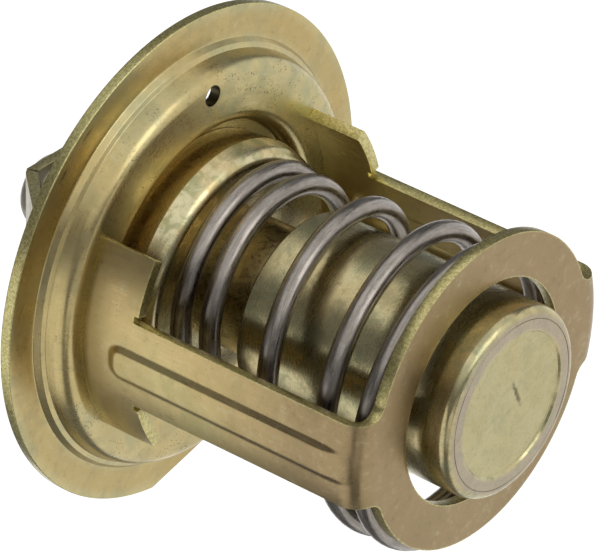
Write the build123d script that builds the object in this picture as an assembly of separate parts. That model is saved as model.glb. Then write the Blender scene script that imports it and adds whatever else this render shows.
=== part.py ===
from build123d import *

import math
import os

# Wax-element engine thermostat with a 54 mm flange.
#
# Frame: +Z is the axis and points from the flange to the wax capsule, which is the hot side.
# The origin is the centre of the flange rim, halfway through its sheet. The cage legs and the
# bridge lie along X. All lengths are in millimetres and all angles in degrees.

# ---------------------------------------------------------------- flange plate, one stamping
FLANGE_T = 1.2
RIM_R = 27.0
STEP_R = 23.5            # foot of the small step inside the rim
STEP_RUN = 0.45
STEP_H = 0.65
LEDGE_RUN = 0.5          # narrow ledge between the step and the bead
LEDGE_RISE = 0.2
BEAD_H = 3.2             # rim's front face to the bead's flat crest
BEAD_RUN = 0.65          # lean of the bead's outer flank
BEAD_SHOULDER_R = 1.6    # bend radii are measured on the front face
BEAD_LIP_R = 1.5
SHARP_BEND_R = 0.1
STEP_BEND_R = 0.25
CREST_W = 6.6            # bead's outer corner to the throat
SEAT_DROP = 2.2          # crest to seat shelf
SEAT_BEND_R = 0.3
SEAT_LAP = 1.2           # how far the seat reaches in under the valve's edge
FLAT_DISTANCE = 24.8     # the rim's locating flat, from the axis
FLAT_ANGLE = 102.6
VENT_R = 1.1
VENT_INSET = 2.0         # bead's outer corner to the vent's centre
VENT_ANGLE = -90.0

# ---------------------------------------------------------------- spring cage, one drawn cup
CAGE_T = 1.2
CAGE_INSET = 2.2         # bead's outer corner to the cage's outside
CAGE_H = 35.05           # crest to the ring's front face
CAGE_BEND_R = 2.4
RING_INSET = 2.8         # cage's outside to the ring's edge in the windows
RING_GAP = 1.8           # radial, round the capsule
LEG_W = 9.7
LEG_ROOT_R = 2.0
FOOT_H = 6.6
FOOT_SPAN = 68.0         # angle that each foot covers
RELIEF_R = 0.55          # relief where a foot's ear meets the leg
RIB_W = 3.6
RIB_H = 0.45
RIB_START = 3.8          # crest to the start of the rib
RIB_END = 0.5            # end of the rib to the ring's front face
RIB_CORNER_R = 1.3

# ---------------------------------------------------------------- bridge, one bent strap
BRIDGE_T = 1.2
BRIDGE_W = 9.4
BRIDGE_DEPTH = 19.9      # back of the crest to the crown, outside
CROWN_HALF = 4.43        # half the flat crown, outside, where a leg would meet it
CROWN_BEND_R = 2.0       # outside bend radii
KNEE_DEPTH = 4.85        # back of the crest to the knee, above which a leg stands upright
KNEE_BEND_R = 4.0
BRIDGE_FOOT_INSET = 2.0  # bead's outer corner to the foot's end
BRIDGE_FOOT_L = 1.7
BRIDGE_FOOT_BEND_R = 0.5
CUP_R = 4.3              # pressed cup that holds the piston's end
CUP_DEPTH = 2.2          # reach of the cup beyond the crown
CUP_FILLET = 2.6

# ---------------------------------------------------------------- valve, one drawn cup
VALVE_T = 1.1
VALVE_GAP = 1.0          # radial, from the valve's widest place to the throat
VALVE_EDGE_LEAN = 0.3    # widest place to the edge at the seat
VALVE_BAND_H = 3.9
VALVE_SKIRT_LEAN = 0.55  # widest place to where the skirt would meet the shoulder
VALVE_H = 6.2            # seat to shoulder
VALVE_BEND_R = 1.3

# ---------------------------------------------------------------- wax element
CAPSULE_R = 10.3
CAPSULE_T = 1.0
CAPSULE_START = 15.8     # edge of the rolled rim
CAPSULE_L = 26.7
CAPSULE_CORNER_R = 1.2
ROLL_T = 0.8
ROLL_BORE_R = 8.2
ROLL_EDGE_R = 0.35
RECESS_R = 7.9           # shallow round recess in the closed end
RECESS_DEPTH = 0.25
COIN_LINE_R = 9.15       # fine line coined round the closed end
COIN_LINE_DEPTH = 0.15
GUIDE_FLANGE_T = 2.0
NECK_R = 7.0
SHANK_R = 5.9            # the stretch that the valve sits on
STAKE_R = 6.6
STAKE_H = 0.8
SNOUT_R = 4.6
SNOUT_END = -3.0
PISTON_R = 2.5
PISTON_CORNER_R = 0.4
PISTON_IN = 11.2         # inner end of the piston, valve shut
DISC_T = 0.8
CONE_R = 6.4
CONE_H = 2.4
DIAPHRAGM_T = 1.2
SEAL_R = 3.6
SEAL_H = 1.6
SEAL_FLOOR = 0.5         # snout's end to the seal

# ---------------------------------------------------------------- main spring, round wire
WIRE_R = 1.1
COIL_EDGE_GAP = 0.45     # wire to the valve's skirt line, at the first turn
COIL_CORE_GAP = 0.45     # wire to the capsule, at the waist
COIL_WALL_GAP = 0.6      # wire to the cage's inside, at the ring
COIL_LEAN_SHARE = 1 / 3  # share of the room at the ring by which the coil leans aside
COIL_LEAN_ANGLE = 50.6
COIL_START_ANGLE = 218.6
TURNS = 4.81
TURNS_CLOSE = 1.25       # turns wound close at the valve
TURNS_OPEN = 3.3         # turn at which the open pitch ends
TURNS_FLAT = 4.25        # turn from which the wire lies flat under the ring
PITCH_CLOSE = 3.1
PITCH_CLOSING = 5.3
PITCH_BLEND = 0.12       # half the stretch, in turns, over which the pitch changes
POINTS_PER_TURN = 8

# ---------------------------------------------------------------- clearances
RUNNING_GAP = 0.05       # radial, round the piston
FIT_GAP = 0.02           # radial, pieces pressed together
REST_GAP = 0.05          # spring to its seats

# ---------------------------------------------------------------- places that follow
RIM_FRONT = FLANGE_T / 2
BEAD_CORNER_R = STEP_R - STEP_RUN - LEDGE_RUN - BEAD_RUN
CREST = RIM_FRONT + BEAD_H
CREST_BACK = CREST - FLANGE_T
SEAT = CREST - SEAT_DROP
THROAT_R = BEAD_CORNER_R - CREST_W
VENT_AT_R = BEAD_CORNER_R - VENT_INSET
CAGE_R = BEAD_CORNER_R - CAGE_INSET
RING_R = CAGE_R - RING_INSET
RING_BORE_R = CAPSULE_R + RING_GAP
RING_FRONT = CREST + CAGE_H
RING_BACK = RING_FRONT - CAGE_T
SHOULDER = SEAT + VALVE_H
VALVE_FLOOR = SHOULDER - VALVE_T
VALVE_BAND_R = THROAT_R - VALVE_GAP
VALVE_EDGE_R = VALVE_BAND_R - VALVE_EDGE_LEAN
VALVE_TOP_R = VALVE_BAND_R - VALVE_SKIRT_LEAN
SEAT_BORE_R = VALVE_EDGE_R - SEAT_LAP
CAPSULE_END = CAPSULE_START + CAPSULE_L
CAPSULE_BORE_R = CAPSULE_R - CAPSULE_T
GUIDE_FLANGE_BACK = CAPSULE_START + ROLL_T
GUIDE_END = GUIDE_FLANGE_BACK + GUIDE_FLANGE_T
GUIDE_BORE_R = PISTON_R + RUNNING_GAP
BRIDGE_FOOT_END = BEAD_CORNER_R - BRIDGE_FOOT_INSET
BRIDGE_HALF = BRIDGE_FOOT_END - BRIDGE_FOOT_L
CROWN = CREST_BACK - BRIDGE_DEPTH
CUP_END = CROWN - CUP_DEPTH
CUP_FLOOR = CUP_END + BRIDGE_T
COIL_R_VALVE = VALVE_TOP_R - WIRE_R - COIL_EDGE_GAP
COIL_R_WAIST = CAPSULE_R + WIRE_R + COIL_CORE_GAP
COIL_ROOM = CAGE_R - CAGE_T - COIL_WALL_GAP - WIRE_R - COIL_R_WAIST
COIL_LEAN = COIL_ROOM * COIL_LEAN_SHARE
COIL_R_RING = COIL_R_WAIST + COIL_ROOM - COIL_LEAN
WAX_START = GUIDE_END + DIAPHRAGM_T
WAX_END = CAPSULE_END - CAPSULE_T
INSERT_R = CAPSULE_BORE_R - FIT_GAP


# ---------------------------------------------------------------- shared operations
def sheet_face(corners, radii, thickness):
    """Section of a bent sheet of even thickness, in a plane's own x and y.

    The corners and bend radii are those of the sheet's first face. The second face lies to the
    left of the first.
    """
    steps = [(Vector(*b) - Vector(*a)).normalized() for a, b in zip(corners, corners[1:])]
    normals = [Vector(-s.Y, s.X) for s in steps]
    second = [Vector(*corners[0]) + normals[0] * thickness]
    second_radii = []
    for corner, radius, before, after in zip(corners[1:-1], radii, normals, normals[1:]):
        second.append(Vector(*corner) + (before + after) * (thickness / (1 + before.dot(after))))
        turns_left = before.cross(after).Z > 0
        second_radii.append(max(radius - thickness, 0) if turns_left else radius + thickness)
    second.append(Vector(*corners[-1]) + normals[-1] * thickness)
    outline = [Vector(*corner) for corner in corners] + second[::-1]
    outline_radii = [0, *radii, 0, 0, *second_radii[::-1], 0]
    return make_face(FilletPolyline(*outline, radius=outline_radii, close=True))


def turned(face):
    """A face drawn as (radius, height), turned round the Z axis."""
    return revolve(Plane.XZ * face, Axis.Z)


def turned_outline(corners, radii):
    """A solid of revolution from (radius, height) corners, each with its fillet radius."""
    return turned(make_face(FilletPolyline(*corners, radius=radii, close=True)))


def bar(radius, start, end):
    """A round bar on the Z axis between two heights."""
    return Pos(0, 0, start) * extrude(Circle(radius), end - start)


def both_sides(piece):
    """The piece with its copy on the -X side."""
    return piece + Rot(0, 0, 180) * piece


# ---------------------------------------------------------------- fixed pieces
def flange_plate():
    """Flat rim, step, bead, throat and seat shelf in one sheet, with its flat and vent."""
    step_top = RIM_FRONT + STEP_H
    ledge_start = STEP_R - STEP_RUN
    bead_start = ledge_start - LEDGE_RUN
    corners = [
        (RIM_R, RIM_FRONT),
        (STEP_R, RIM_FRONT),
        (ledge_start, step_top),
        (bead_start, step_top + LEDGE_RISE),
        (bead_start - BEAD_RUN, CREST),
        (THROAT_R, CREST),
        (THROAT_R, SEAT),
        (SEAT_BORE_R, SEAT),
    ]
    radii = [STEP_BEND_R, STEP_BEND_R, SHARP_BEND_R, BEAD_SHOULDER_R, BEAD_LIP_R, SEAT_BEND_R]
    plate = turned(sheet_face(corners, radii, FLANGE_T))
    beyond_flat = Pos(FLAT_DISTANCE + RIM_R, 0) * Rectangle(2 * RIM_R, 2 * RIM_R)
    plate -= Rot(0, 0, FLAT_ANGLE) * extrude(beyond_flat, CREST, both=True)
    vent = Rot(0, 0, VENT_ANGLE) * Pos(VENT_AT_R, 0) * Circle(VENT_R)
    return plate - extrude(vent, 2 * CREST)


def cage_plan():
    """Plan of the ring with its two tabs, filleted where they meet."""
    strip = Rectangle(2 * (CAGE_R + RIB_H + CAGE_T), LEG_W)
    plan = Circle(RING_R) + strip
    roots = plan.vertices().filter_by(lambda corner: abs(corner.X) < RING_R)
    return fillet(roots, LEG_ROOT_R)


def cage_cup(growth):
    """The cup before its windows are cut, its wall moved out by the growth.

    The seam of its round faces is turned to a window, away from the legs.
    """
    wall_r = CAGE_R + growth
    corners = [(wall_r, CREST), (wall_r, RING_FRONT), (RING_BORE_R, RING_FRONT)]
    return Rot(0, 0, 90) * turned(sheet_face(corners, [CAGE_BEND_R], CAGE_T))


def foot_windows():
    """What stays of the wall below the windows: a sector for each foot."""
    reach = 2 * CAGE_R
    rise = reach * math.tan(math.radians(FOOT_SPAN / 2))
    sector = make_face(Polyline((0, 0), (reach, -rise), (reach, rise), close=True))
    return both_sides(Pos(0, 0, CREST) * extrude(sector, FOOT_H))


def rib_block():
    """The block in which a leg's wall is pressed outwards to form its rib."""
    block_h = CAGE_H - RIB_START - RIB_END
    outline = RectangleRounded(RIB_W, block_h, RIB_CORNER_R)
    middle = Vector(RING_R, 0, RING_FRONT - RIB_END - block_h / 2)
    return extrude(Plane(middle, x_dir=(0, 1, 0), z_dir=(1, 0, 0)) * outline, CAGE_R)


def spring_cage():
    """Curved feet with ears, two ribbed legs and the ring, cut from one drawn cup."""
    foot_top = CREST + FOOT_H
    above = Pos(0, 0, foot_top) * extrude(cage_plan(), CAGE_H)
    kept = foot_windows() + above
    ribs = both_sides(rib_block())
    cage = (cage_cup(0) - ribs) + (cage_cup(RIB_H) & ribs)
    cage &= kept
    for side in (-1, 1):
        relief = Plane.YZ * (Pos(side * (LEG_W / 2 + RELIEF_R / 2), foot_top) * Circle(RELIEF_R))
        cage -= extrude(relief, 2 * CAGE_R, both=True)
    return cage


def bridge():
    """Strap with a flat crown, flared legs, feet under the bead and a cup for the piston's end."""
    foot_outside = CREST_BACK - BRIDGE_T
    half_path = [
        (CROWN_HALF, CROWN),
        (BRIDGE_HALF, CREST_BACK - KNEE_DEPTH),
        (BRIDGE_HALF, foot_outside),
        (BRIDGE_FOOT_END, foot_outside),
    ]
    other_half = [(-x, z) for x, z in reversed(half_path)]
    radii = [CROWN_BEND_R, KNEE_BEND_R, BRIDGE_FOOT_BEND_R]
    strap = sheet_face(other_half + half_path, radii[::-1] + radii, BRIDGE_T)
    body = extrude(Plane.XZ * strap, BRIDGE_W / 2, both=True)
    body -= bar(CUP_R - BRIDGE_T, CUP_END, 0)
    cup_wall = [(0, CUP_END), (CUP_R, CUP_END), (CUP_R, CROWN + BRIDGE_T)]
    cup = turned(sheet_face(cup_wall, [CUP_FILLET], BRIDGE_T))
    return body + cup - bar(GUIDE_BORE_R, CUP_FLOOR, 0)


def piston():
    """Ground rod from the bridge's cup to the disc inside the guide."""
    corners = [(0, CUP_FLOOR), (PISTON_R, CUP_FLOOR), (PISTON_R, PISTON_IN), (0, PISTON_IN)]
    return turned_outline(corners, [0, PISTON_CORNER_R, PISTON_CORNER_R / 2, 0])


def pitch_at(turn, open_pitch):
    """Pitch of the wire at a turn: close, open, closing, then flat, with short blends."""
    stages = [
        (TURNS_CLOSE, open_pitch - PITCH_CLOSE),
        (TURNS_OPEN, PITCH_CLOSING - open_pitch),
        (TURNS_FLAT, -PITCH_CLOSING),
    ]
    pitch = PITCH_CLOSE
    for change_at, change in stages:
        share = (turn - change_at + PITCH_BLEND) / (2 * PITCH_BLEND)
        pitch += change * min(max(share, 0), 1)
    return pitch


def coil_radius(turn):
    """Centre-line radius: narrowing over the close turns, then a cone up to the closing turn."""
    if turn < TURNS_CLOSE:
        share = turn / TURNS_CLOSE
        return COIL_R_VALVE + (COIL_R_WAIST - COIL_R_VALVE) * share
    share = min((turn - TURNS_CLOSE) / (TURNS_OPEN - TURNS_CLOSE), 1)
    return COIL_R_WAIST + (COIL_R_RING - COIL_R_WAIST) * share


def coil_points():
    """Points on the wire's centre line, from the valve's shoulder to the ring."""
    start = SHOULDER + WIRE_R + REST_GAP
    end = RING_BACK - WIRE_R - REST_GAP
    open_rise = end - start - PITCH_CLOSE * TURNS_CLOSE - PITCH_CLOSING * (TURNS_FLAT - TURNS_OPEN)
    open_pitch = open_rise / (TURNS_OPEN - TURNS_CLOSE)
    count = math.ceil(TURNS * POINTS_PER_TURN)
    step = TURNS / count
    lean = Vector(COIL_LEAN, 0, 0).rotate(Axis.Z, COIL_LEAN_ANGLE)
    height = start
    points = []
    for index in range(count + 1):
        turn = index * step
        if index:
            height += pitch_at(turn - step / 2, open_pitch) * step
        lean_share = min(max((turn - 1) / (TURNS_OPEN - 1), 0), 1)
        arm = Vector(coil_radius(turn), 0, 0).rotate(Axis.Z, COIL_START_ANGLE + 360 * turn)
        points.append(arm + lean * lean_share + Vector(0, 0, height))
    return points


def main_spring():
    """Round wire wound as a cone, close at the valve and flat under the ring."""
    line = Spline(*coil_points())
    section = Plane(origin=line @ 0, z_dir=line % 0) * Circle(WIRE_R)
    return sweep(section, path=line)


# ---------------------------------------------------------------- pieces that lift
def valve_plate():
    """Drawn cup that shuts the throat: turned band, skirt, shoulder and hub hole."""
    outside = [
        (VALVE_EDGE_R, SEAT),
        (VALVE_BAND_R, SEAT + VALVE_BAND_H),
        (VALVE_TOP_R, SHOULDER),
        (SHANK_R + FIT_GAP, SHOULDER),
    ]
    inside_r = VALVE_EDGE_R - VALVE_T
    inside = [(SHANK_R + FIT_GAP, VALVE_FLOOR), (inside_r, VALVE_FLOOR), (inside_r, SEAT)]
    radii = [0, 0, VALVE_BEND_R, 0, 0, VALVE_BEND_R - VALVE_T / 2, 0]
    return turned_outline(outside + inside, radii)


def guide_body():
    """Turned guide: snout, staked shank, neck and the flange that the capsule grips."""
    seal_top = SNOUT_END + SEAL_FLOOR + SEAL_H
    cone_start = GUIDE_END - CONE_H
    corners = [
        (GUIDE_BORE_R, SNOUT_END),
        (SNOUT_R, SNOUT_END),
        (SNOUT_R, VALVE_FLOOR - STAKE_H),
        (STAKE_R, VALVE_FLOOR - STAKE_H),
        (STAKE_R, VALVE_FLOOR),
        (SHANK_R, VALVE_FLOOR),
        (SHANK_R, SHOULDER),
        (NECK_R, SHOULDER),
        (NECK_R, GUIDE_FLANGE_BACK),
        (INSERT_R, GUIDE_FLANGE_BACK),
        (INSERT_R, GUIDE_END),
        (CONE_R, GUIDE_END),
        (GUIDE_BORE_R, cone_start),
    ]
    body = turned_outline(corners, [0] * len(corners))
    return body - bar(SEAL_R, SNOUT_END + SEAL_FLOOR, seal_top)


def piston_seal():
    """Wiper ring in the guide's mouth."""
    start = SNOUT_END + SEAL_FLOOR
    return bar(SEAL_R - FIT_GAP, start, start + SEAL_H) - bar(GUIDE_BORE_R, start, start + SEAL_H)


def anti_extrusion_disc():
    """Hard disc between the piston and the plug."""
    return bar(PISTON_R, PISTON_IN, PISTON_IN + DISC_T)


def rubber_plug():
    """Plug that fills the guide's bore and cone."""
    start = PISTON_IN + DISC_T
    cone_start = GUIDE_END - CONE_H
    corners = [
        (0, start),
        (PISTON_R, start),
        (PISTON_R, cone_start + RUNNING_GAP),
        (CONE_R - 2 * RUNNING_GAP, GUIDE_END),
        (0, GUIDE_END),
    ]
    return turned_outline(corners, [0] * len(corners))


def diaphragm():
    """Rubber sheet clamped between the guide's flange and the capsule's shoulder."""
    return bar(INSERT_R, GUIDE_END, WAX_START)


def wax_charge():
    """Wax that fills the capsule behind the diaphragm."""
    corner = CAPSULE_CORNER_R
    corners = [(0, WAX_START), (INSERT_R, WAX_START), (INSERT_R, WAX_END), (0, WAX_END)]
    return turned_outline(corners, [0, 0, corner, 0])


def capsule_shell():
    """Deep-drawn capsule, rolled over the guide's flange, with a recessed closed end."""
    line_half = COIN_LINE_DEPTH  # the coined line's walls slope at 45 degrees
    corners = [
        (ROLL_BORE_R, CAPSULE_START),
        (CAPSULE_R, CAPSULE_START),
        (CAPSULE_R, CAPSULE_END),
        (COIN_LINE_R + line_half, CAPSULE_END),
        (COIN_LINE_R, CAPSULE_END - COIN_LINE_DEPTH),
        (COIN_LINE_R - line_half, CAPSULE_END),
        (RECESS_R, CAPSULE_END),
        (RECESS_R - RECESS_DEPTH, CAPSULE_END - RECESS_DEPTH),
        (0, CAPSULE_END - RECESS_DEPTH),
        (0, WAX_END),
        (CAPSULE_BORE_R, WAX_END),
        (CAPSULE_BORE_R, GUIDE_FLANGE_BACK),
        (ROLL_BORE_R, GUIDE_FLANGE_BACK),
    ]
    corner = CAPSULE_CORNER_R - 2 * line_half
    radii = [0, ROLL_EDGE_R, corner, 0, 0, 0, 0, 0, 0, 0, CAPSULE_CORNER_R - FIT_GAP, 0, 0]
    return turned_outline(corners, radii)


PIECES = [
    flange_plate,
    bridge,
    piston,
    spring_cage,
    main_spring,
    valve_plate,
    guide_body,
    piston_seal,
    anti_extrusion_disc,
    rubber_plug,
    diaphragm,
    wax_charge,
    capsule_shell,
]

if __name__ == "__main__":
    os.makedirs("parts", exist_ok=True)
    for piece in PIECES:
        export_step(piece(), f"parts/{piece.__name__}.step")
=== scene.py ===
"""Visual model of a wax-element engine thermostat, built round its construction frame.

Sizes are in millimetres and angles in degrees until a mesh is made, when lengths become metres.
The frame is the construction's own: +Z is the axis, from the flange towards the wax capsule, and
the origin is the centre of the flange rim.
"""

from __future__ import annotations

import logging
import math
from collections.abc import Callable, Iterable, Iterator, Sequence
from contextlib import contextmanager
from dataclasses import dataclass
from enum import Enum
from functools import cached_property

import bmesh
import bpy
from mathutils import Matrix, Vector
from mathutils.kdtree import KDTree

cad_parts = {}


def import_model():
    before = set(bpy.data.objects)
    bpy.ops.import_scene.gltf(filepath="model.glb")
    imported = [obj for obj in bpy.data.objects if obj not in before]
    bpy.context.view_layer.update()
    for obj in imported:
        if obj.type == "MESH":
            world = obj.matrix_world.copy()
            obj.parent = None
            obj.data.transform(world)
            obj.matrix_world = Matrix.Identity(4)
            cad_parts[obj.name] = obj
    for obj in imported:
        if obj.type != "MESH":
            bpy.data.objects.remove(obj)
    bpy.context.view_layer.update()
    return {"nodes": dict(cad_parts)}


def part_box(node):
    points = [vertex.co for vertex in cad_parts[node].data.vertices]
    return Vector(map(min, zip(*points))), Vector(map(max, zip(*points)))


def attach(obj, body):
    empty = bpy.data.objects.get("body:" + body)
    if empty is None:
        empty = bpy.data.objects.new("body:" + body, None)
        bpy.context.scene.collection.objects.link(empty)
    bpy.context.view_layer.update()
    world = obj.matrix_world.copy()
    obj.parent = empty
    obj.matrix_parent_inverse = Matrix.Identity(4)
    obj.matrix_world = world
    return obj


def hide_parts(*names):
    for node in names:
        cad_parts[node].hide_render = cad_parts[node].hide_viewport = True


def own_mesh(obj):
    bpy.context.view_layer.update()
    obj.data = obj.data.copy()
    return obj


LOG = logging.getLogger("engine_part")
MM = 0.001
MERGE_CLOSED = 1e-7
MERGE_PATCHES = 2e-6
SHARP_TURNED = 38.0
SHARP_SHEET = 50.0
WHITE = (1.0, 1.0, 1.0)

Object = bpy.types.Object
Material = bpy.types.Material
Socket = bpy.types.NodeSocket
Point2 = tuple[float, float]
Point3 = tuple[float, float, float]
Corner = tuple[float, float, float]
Colour = tuple[float, float, float]
Inputs = dict[str | int, object]


class Body(Enum):
    """The two rigid bodies of the frame."""

    FIXED = "frame"
    LIFTING = "valve"


# ---- outlines


def rounded_path(corners: Sequence[Corner], closed: bool, step: float = 6.0) -> list[Point2]:
    """Round the corners of a path with arcs.

    Args:
        corners: (x, y, radius) of each corner; the ends of an open path keep radius 0.
        closed: whether the last corner joins the first.
        step: largest turn between two points of an arc, in degrees.

    Returns:
        The points along the path.
    """
    points: list[Point2] = []
    count = len(corners)
    for index, (x, y, radius) in enumerate(corners):
        here = Vector((x, y))
        at_end = not closed and index in (0, count - 1)
        if radius <= 0 or at_end:
            points.append((x, y))
            continue
        before = (Vector(corners[index - 1][:2]) - here).normalized()
        after = (Vector(corners[(index + 1) % count][:2]) - here).normalized()
        half = before.angle(after) / 2
        reach = radius / math.tan(half)
        centre = here + (before + after).normalized() * (radius / math.sin(half))
        start = here + before * reach - centre
        turn = start.angle_signed(here + after * reach - centre)
        steps = max(2, math.ceil(math.degrees(abs(turn)) / step))
        for share in range(steps + 1):
            spoke = start.copy()
            spoke.rotate(Matrix.Rotation(-turn * share / steps, 2))
            points.append(tuple(centre + spoke))
    return points


def sheet_outline(corners: Sequence[Corner], thickness: float, edge: float) -> list[Point2]:
    """Close the section of a bent sheet of even thickness.

    Args:
        corners: (x, y, bend radius) of the first face; the second face lies to its left.
        thickness: the sheet.
        edge: rounding of the sheet's four outer edges.

    Returns:
        The closed outline.
    """
    ends = [Vector(c[:2]) for c in corners]
    steps = [(b - a).normalized() for a, b in zip(ends, ends[1:])]
    sides = [Vector((-s.y, s.x)) for s in steps]
    second: list[Corner] = [(*(ends[0] + sides[0] * thickness), edge)]
    for index in range(1, len(corners) - 1):
        one, two = sides[index - 1], sides[index]
        place = ends[index] + (one + two) * (thickness / (1 + one.dot(two)))
        left_turn = one.x * two.y - one.y * two.x > 0
        radius = corners[index][2] + (-thickness if left_turn else thickness)
        second.append((*place, max(radius, edge)))
    second.append((*(ends[-1] + sides[-1] * thickness), edge))
    first = [(x, y, max(radius, edge)) for x, y, radius in corners]
    return rounded_path(first + second[::-1], closed=True)


def even_range(start: float, stop: float, count: int) -> list[float]:
    """Even steps after start, up to stop."""
    return [start + (stop - start) * i / count for i in range(1, count + 1)]


def even_steps(path: Sequence[Point2], step: float) -> list[Point2]:
    """Walk a path in about even steps, keeping its own points.

    Args:
        path: points of the path.
        step: longest step.

    Returns:
        The path's points with others between them.
    """
    walked = [path[0]]
    for (x0, y0), (x1, y1) in zip(path, path[1:]):
        count = max(1, math.ceil(math.hypot(x1 - x0, y1 - y0) / step))
        walked += zip(even_range(x0, x1, count), even_range(y0, y1, count))
    return walked


def direction(degrees: float) -> Vector:
    """Unit vector square to the axis, at an angle from +X."""
    return Vector((math.cos(math.radians(degrees)), math.sin(math.radians(degrees)), 0))


def share_between(value: float, low: float, high: float) -> float:
    """Share from 0 at low to 1 at high, held beyond both."""
    return min(max((value - low) / (high - low), 0.0), 1.0)


def smooth_share(value: float, low: float, high: float) -> float:
    """Share from 0 at low to 1 at high, easing at both ends."""
    share = share_between(value, low, high)
    return share * share * (3 - 2 * share)


# ---- meshes


def add_object(name: str, data: bpy.types.ID) -> Object:
    """Make an object of a mesh, a lamp or a camera, and link it."""
    obj = bpy.data.objects.new(name, data)
    bpy.context.scene.collection.objects.link(obj)
    return obj


def mesh_object(name: str, verts: Iterable[Sequence[float]], faces: list) -> Object:
    """Make an object from vertices and faces.

    Args:
        name: the piece's name.
        verts: vertex places in millimetres.
        faces: vertex indices of each face.

    Returns:
        The linked object, at the origin.
    """
    mesh = bpy.data.meshes.new(name)
    mesh.from_pydata([tuple(c * MM for c in v) for v in verts], [], faces)
    mesh.validate()
    return add_object(name, mesh)


@contextmanager
def edited(mesh: bpy.types.Mesh) -> Iterator[bmesh.types.BMesh]:
    """Open a mesh for editing and write it back at the end."""
    work = bmesh.new()
    work.from_mesh(mesh)
    yield work
    work.to_mesh(mesh)
    work.free()


def shade(obj: Object, sharp_angle: float) -> Object:
    """Shade a piece smooth, but sharp at edges that turn more than an angle."""
    obj.data.shade_smooth()
    obj.data.set_sharp_from_angle(angle=math.radians(sharp_angle))
    return obj


def clean(obj: Object, sharp_angle: float = SHARP_TURNED) -> Object:
    """Merge doubles, point the faces outwards and shade.

    Args:
        obj: a closed mesh.
        sharp_angle: edges that turn more than this stay sharp.

    Returns:
        The same object.
    """
    with edited(obj.data) as work:
        bmesh.ops.remove_doubles(work, verts=work.verts, dist=MERGE_CLOSED)
        bmesh.ops.recalc_face_normals(work, faces=work.faces)
    return shade(obj, sharp_angle)


def bake_modifiers(obj: Object) -> Object:
    """Replace the object's mesh by its evaluated one and drop the modifiers."""
    graph = bpy.context.evaluated_depsgraph_get()
    graph.update()
    finished = bpy.data.meshes.new_from_object(obj.evaluated_get(graph))
    obj.modifiers.clear()
    obj.data = finished
    return obj


def lathe(
    name: str, outline: Sequence[Point2], segments: int = 288, sharp_angle: float = SHARP_TURNED
) -> Object:
    """Turn a closed (radius, height) outline round the Z axis.

    Args:
        name: the piece's name.
        outline: closed outline; points on the axis become poles.
        segments: steps round the axis.
        sharp_angle: edges that turn more than this stay sharp.

    Returns:
        The solid.
    """
    longest_step = 0.6
    outline = even_steps([*outline, outline[0]], longest_step)[:-1]
    verts = []
    for step in range(segments):
        angle = 2 * math.pi * step / segments
        verts += [(r * math.cos(angle), r * math.sin(angle), z) for r, z in outline]
    rows = len(outline)
    faces = []
    for step in range(segments):
        here, there = step * rows, (step + 1) % segments * rows
        for row in range(rows):
            after = (row + 1) % rows
            on_axis = outline[row][0] == outline[after][0] == 0
            if not on_axis:
                faces.append((here + row, there + row, there + after, here + after))
    return clean(mesh_object(name, verts, faces), sharp_angle)


def box_tool(name: str, size: Point3) -> Object:
    """A plain block for cutting, centred on the origin, with its size in millimetres."""
    x, y, z = (s / 2 for s in size)
    verts = [(i * x, j * y, k * z) for i in (-1, 1) for j in (-1, 1) for k in (-1, 1)]
    faces = [(0, 1, 3, 2), (4, 6, 7, 5), (0, 4, 5, 1), (2, 3, 7, 6), (0, 2, 6, 4), (1, 5, 7, 3)]
    return clean(mesh_object(name, verts, faces))


def cut(obj: Object, tool: Object) -> Object:
    """Cut a closed tool out of a closed piece.

    Args:
        obj: the piece.
        tool: what is taken out of it; it is deleted.

    Returns:
        The piece.
    """
    boolean = obj.modifiers.new("cut", "BOOLEAN")
    boolean.operation = "DIFFERENCE"
    boolean.solver = "EXACT"
    boolean.object = tool
    bake_modifiers(obj)
    bpy.data.objects.remove(tool)
    return clean(obj)


def thicken(obj: Object, thickness: float, edge: float) -> Object:
    """Give an outer face its sheet thickness, inwards, and round its sheared edges.

    Args:
        obj: an open mesh whose normals point outwards.
        thickness: the sheet, in millimetres.
        edge: width of the edge rounding, in millimetres.

    Returns:
        The solid.
    """
    solid = obj.modifiers.new("sheet", "SOLIDIFY")
    solid.thickness = thickness * MM
    solid.offset = -1
    solid.use_even_offset = True
    rounding = obj.modifiers.new("edges", "BEVEL")
    rounding.width = edge * MM
    rounding.segments = 2
    rounding.limit_method = "ANGLE"
    rounding.angle_limit = math.radians(60)
    return shade(bake_modifiers(obj), SHARP_SHEET)


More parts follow.
